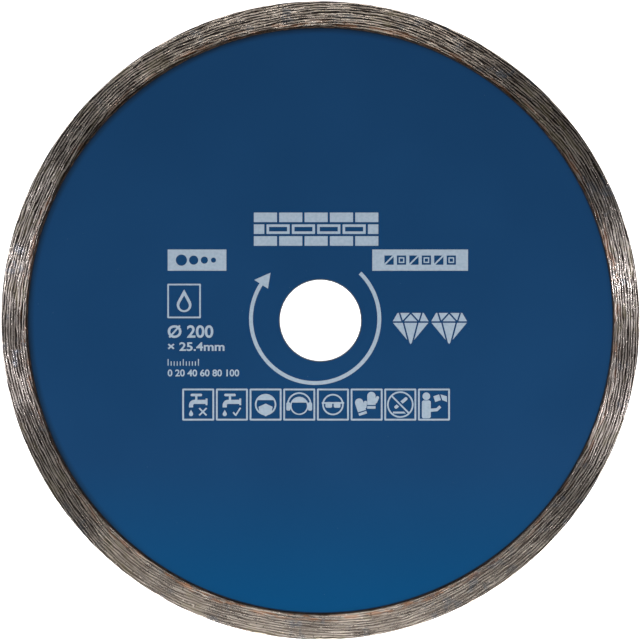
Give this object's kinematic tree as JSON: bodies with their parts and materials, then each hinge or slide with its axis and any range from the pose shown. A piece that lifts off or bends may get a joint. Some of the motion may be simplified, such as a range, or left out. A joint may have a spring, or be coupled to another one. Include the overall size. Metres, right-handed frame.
{
  "type": "diamond blade",
  "caption": "Flat steel disc with a smooth, unbroken diamond rim, lacquered and printed faces and a plain round arbor bore, for wet cutting of tile and stone.",
  "frame": {"origin": "centre of the bore, on the plane of the rim's back face, on which the blade lies", "axes": "+Z along the bore, out of the printed front; +Y towards the top of the print, +X to its right"},
  "size_m": [0.2, 0.2, 0.0022],
  "materials": {
    "core_steel": "ground, satin",
    "bronze_bond": "sintered, dull",
    "rim_matrix": "sintered metal, ground in fine streaks",
    "diamond": "small clear to yellow crystals",
    "blue_lacquer": "smooth, semi-gloss",
    "printed_ink": "thin satin ink"
  },
  "bodies": {
    "blade": {"steel_core": "core_steel", "bond_layer": "bronze_bond", "diamond_rim": "rim_matrix", "diamond_grit": "diamond", "front_lacquer": "blue_lacquer", "back_lacquer": "blue_lacquer", "rotation_arrow": "printed_ink", "brick_motif": "printed_ink", "grit_panel": "printed_ink", "tile_panel": "printed_ink", "drop_frame": "printed_ink", "gem_symbols": "printed_ink", "pictogram_frames": "printed_ink", "water_symbols": "printed_ink", "protection_symbols": "printed_ink", "handling_symbols": "printed_ink"}
  },
  "joints": []
}
